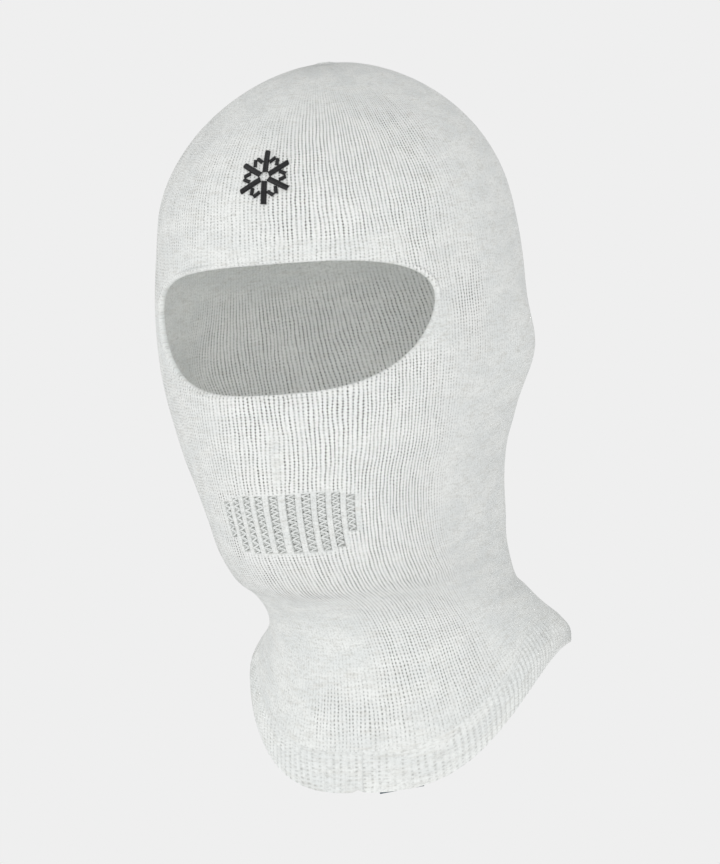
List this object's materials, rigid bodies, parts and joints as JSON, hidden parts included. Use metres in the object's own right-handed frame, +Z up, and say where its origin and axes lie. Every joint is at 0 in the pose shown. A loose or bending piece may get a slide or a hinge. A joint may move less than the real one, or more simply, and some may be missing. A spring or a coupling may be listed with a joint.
{
  "type": "balaclava",
  "caption": "Seamless melange knitted balaclava with one oval eye opening, a ladder-mesh mouth vent, a neck tube and a shaped bib with a ribbed hem.",
  "frame": {"origin": "centre of the head cavity, level with the wearer's eyes", "axes": "+Z up towards the crown, -Y out through the eye opening, +X towards the wearer's left"},
  "size_m": [0.166, 0.2156, 0.3246],
  "materials": {
    "melange_knit": "soft white and grey melange knit",
    "elastic_yarn": "covered elastic yarn",
    "black_thread": "satin embroidery thread",
    "backing_felt": "thin tear-away backing",
    "white_thread": "spun sewing thread",
    "label_ribbon": "woven satin ribbon, plain"
  },
  "bodies": {
    "knit": {"crown_cap": "melange_knit", "crown_closure": "melange_knit", "forehead_panel": "melange_knit", "head_back_panel": "melange_knit", "face_panel": "melange_knit", "mouth_vent": "melange_knit", "vent_lacing": "melange_knit", "chin_gusset": "melange_knit", "neck_tube": "melange_knit", "bib_skirt": "melange_knit", "hem_rib": "melange_knit", "eye_welt": "melange_knit", "eye_elastic": "elastic_yarn", "snowflake_stitching": "black_thread", "snowflake_backing": "backing_felt", "snowflake_bobbin_thread": "white_thread", "label_stitches": "white_thread"},
    "label": {"care_label": "label_ribbon"}
  },
  "joints": [
    {"name": "label_flap", "type": "hinge", "parent": "knit", "child": "label", "pos_m": [0.01514, -0.02715, -0.1926], "axis": [0.9804, 0.1969, 0], "range_deg": [0, 140]}
  ]
}
